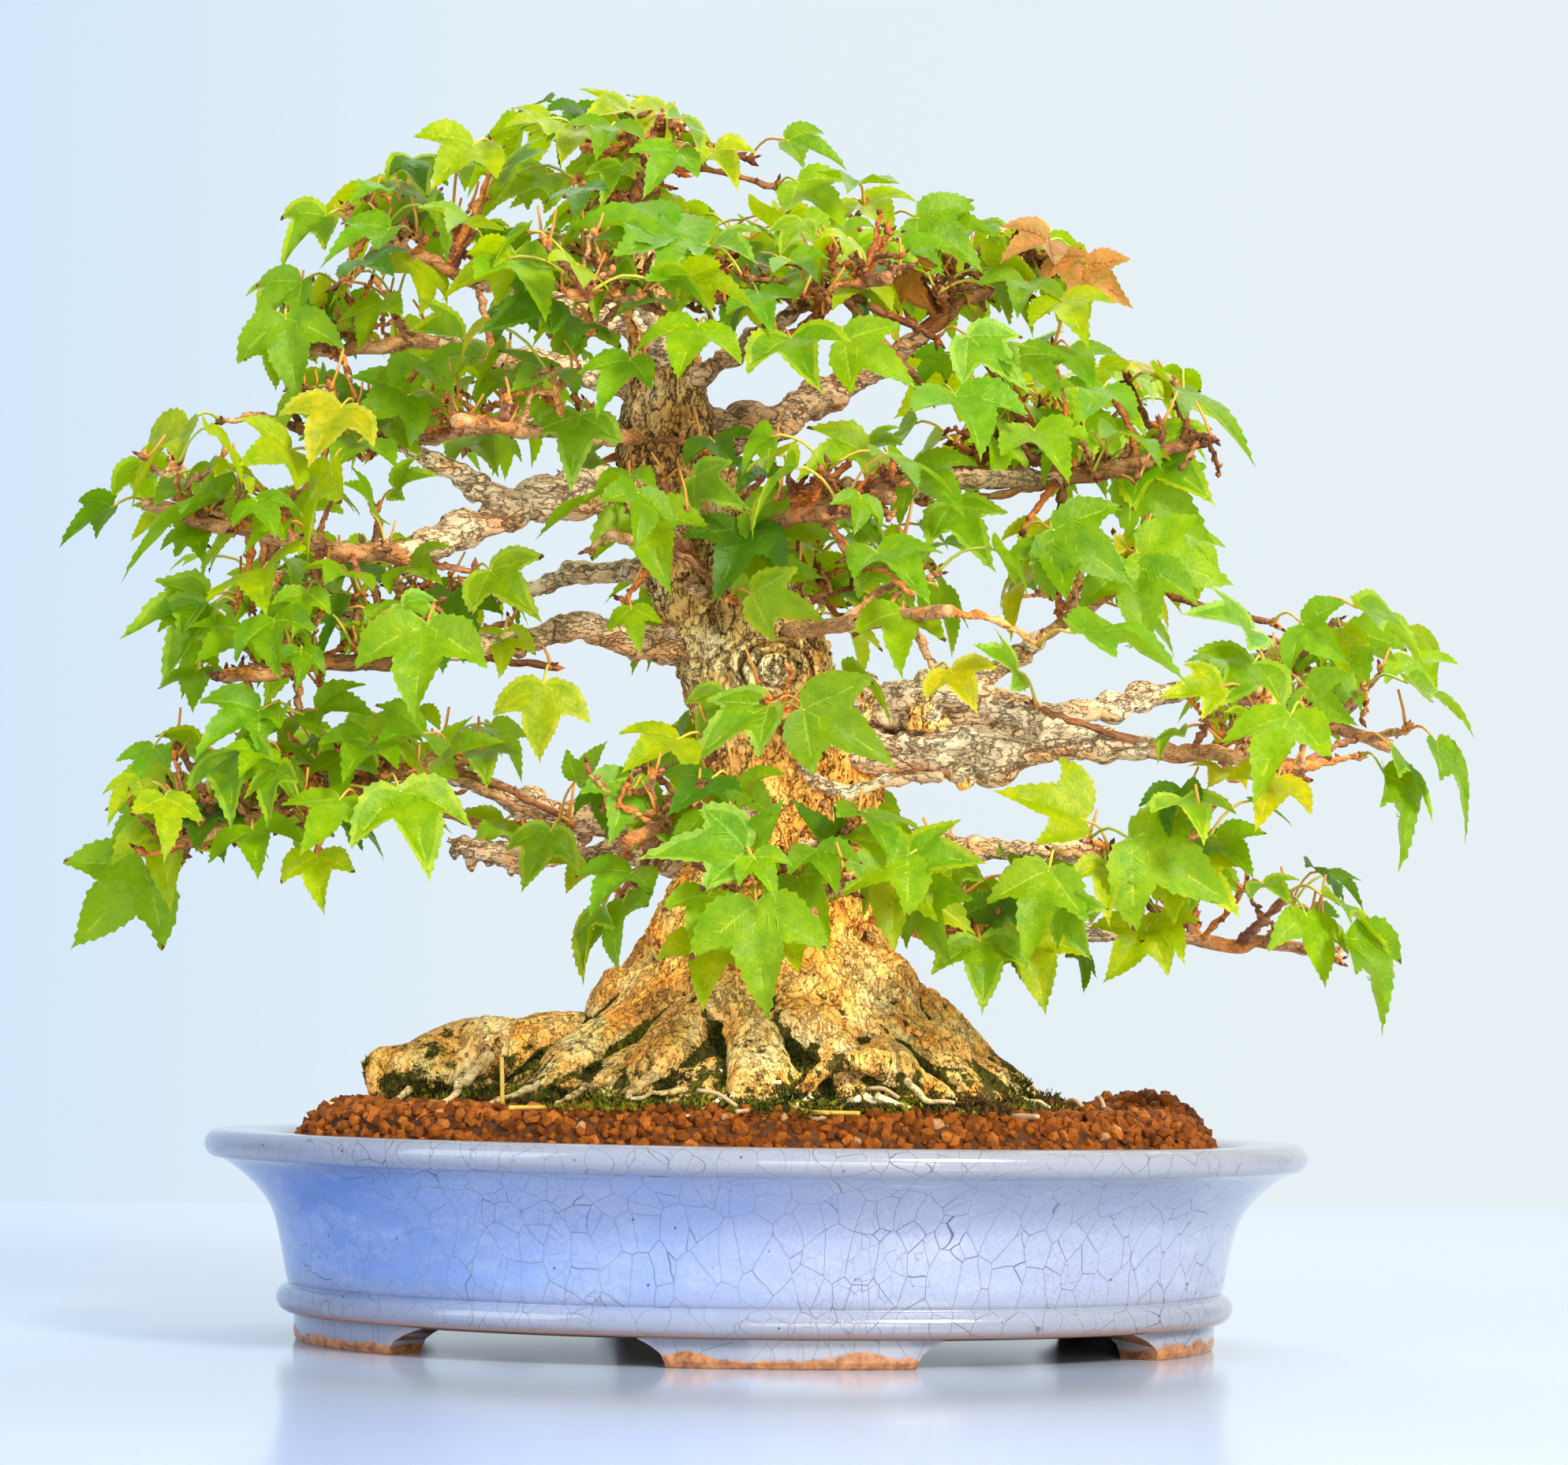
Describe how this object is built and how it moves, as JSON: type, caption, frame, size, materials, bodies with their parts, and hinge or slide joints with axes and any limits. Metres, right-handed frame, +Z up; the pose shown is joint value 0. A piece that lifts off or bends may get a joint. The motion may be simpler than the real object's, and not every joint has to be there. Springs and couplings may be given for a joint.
{
  "type": "potted bonsai tree",
  "caption": "Bonsai with a stout tapering trunk, spreading surface roots, tiered boughs and three-lobed green leaves, planted in a shallow oval glazed pot on feet.",
  "frame": {"origin": "centre of the bounding box at the level of the surface that the pot stands on", "axes": "+X along the pot's length, to the right in the picture, +Z up, front towards -Y"},
  "size_m": [0.4854, 0.3014, 0.4228],
  "materials": {
    "pot": "glossy pale blue-lavender glaze with fine crackle",
    "soil": "matt reddish-brown baked clay grains with moss",
    "bark": "rough tan-grey bark with flaky orange-brown patches",
    "foliage": "fresh green leaves with a soft sheen"
  },
  "bodies": {
    "root": {"bough_crown_left": "bark", "bough_crown_left_rear": "bark", "bough_high_left": "bark", "bough_high_left_fork": "bark", "bough_high_right": "bark", "bough_high_right_rear": "bark", "bough_low_front": "bark", "bough_low_front_left": "bark", "bough_low_left": "bark", "bough_low_left_rear": "bark", "bough_low_right": "bark", "bough_low_right_rear": "bark", "bough_mid_left": "bark", "bough_mid_left_rear": "bark", "bough_mid_right": "bark", "bough_mid_right_rear": "bark", "bough_mid_right_upper": "bark", "bough_top_front": "bark", "bough_top_left": "bark", "bough_top_right": "bark", "bough_top_right_front": "bark", "foliage_apex": "foliage", "foliage_crown_left": "foliage", "foliage_crown_left_front": "foliage", "foliage_crown_left_rear": "foliage", "foliage_high_front": "foliage", "foliage_high_left": "foliage", "foliage_high_left_fork": "foliage", "foliage_high_right": "foliage", "foliage_high_right_front": "foliage", "foliage_high_right_rear": "foliage", "foliage_low_front": "foliage", "foliage_low_front_left": "foliage", "foliage_low_left": "foliage", "foliage_low_left_rear": "foliage", "foliage_low_rear": "foliage", "foliage_low_right": "foliage", "foliage_low_right_front": "foliage", "foliage_low_right_rear": "foliage", "foliage_mid_front": "foliage", "foliage_mid_left": "foliage", "foliage_mid_left_rear": "foliage", "foliage_mid_rear": "foliage", "foliage_mid_right": "foliage", "foliage_mid_right_front": "foliage", "foliage_mid_right_rear": "foliage", "foliage_mid_right_upper": "foliage", "foliage_top_front": "foliage", "foliage_top_left": "foliage", "foliage_top_rear": "foliage", "foliage_top_right": "foliage", "foliage_top_right_front": "foliage", "pot": "pot", "soil": "soil", "trunk": "bark"}
  },
  "joints": []
}
